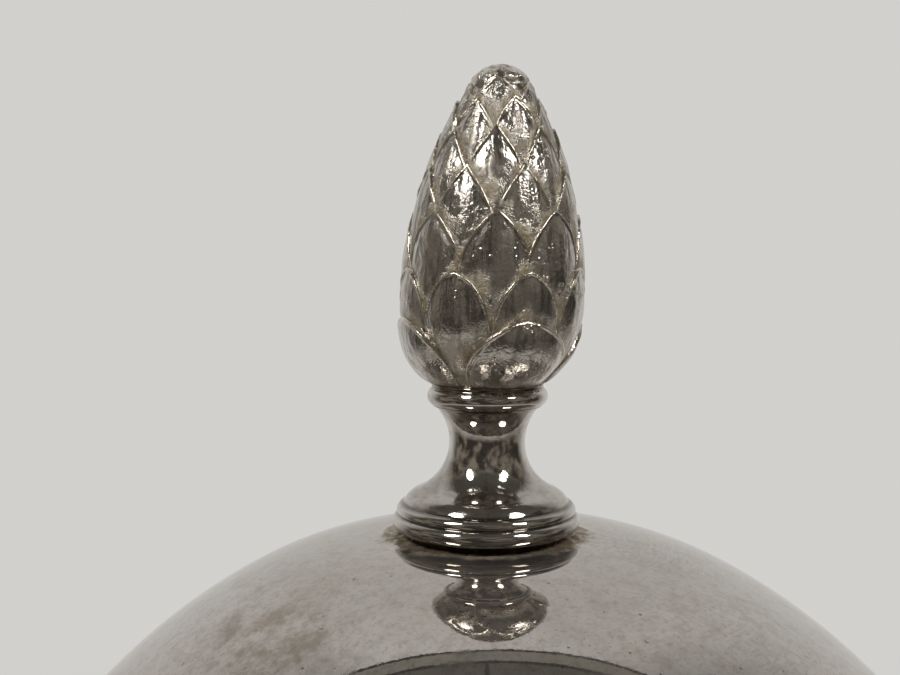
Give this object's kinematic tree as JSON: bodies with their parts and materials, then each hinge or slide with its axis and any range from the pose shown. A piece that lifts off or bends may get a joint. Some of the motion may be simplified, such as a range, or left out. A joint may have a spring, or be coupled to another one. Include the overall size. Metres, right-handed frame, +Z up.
{
  "type": "sugar bowl",
  "caption": "Footed silver sugar bowl with loop handles at its sides and a domed lift-off lid, topped by a scaled cone finial on a turned spool; holds sugar at table.",
  "frame": {"origin": "on the table, under the middle of the foot", "axes": "+Z up through the finial, +X towards the right handle, +Y away from the viewer"},
  "size_m": [0.1506, 0.1076, 0.1827],
  "materials": {
    "sheet_silver": "polished",
    "cast_silver": "polished",
    "fixing_brass": "satin"
  },
  "bodies": {
    "bowl": {"foot_rim": "sheet_silver", "foot_dome": "sheet_silver", "pedestal_stem": "cast_silver", "bowl_shell": "sheet_silver", "bowl_rim": "sheet_silver", "right_handle": "cast_silver", "right_upper_boss": "cast_silver", "right_lower_boss": "cast_silver", "left_handle": "cast_silver", "left_upper_boss": "cast_silver", "left_lower_boss": "cast_silver"},
    "lid": {"lid_rim": "sheet_silver", "lid_bezel": "sheet_silver", "lid_dome": "sheet_silver", "finial_spool": "cast_silver", "finial_cone": "cast_silver", "finial_stud": "fixing_brass", "finial_washer": "fixing_brass", "finial_nut": "fixing_brass"}
  },
  "joints": [
    {"name": "lid_lift", "type": "slide", "parent": "bowl", "child": "lid", "axis": [0, 0, 1], "range_m": [0, 0.09]}
  ]
}
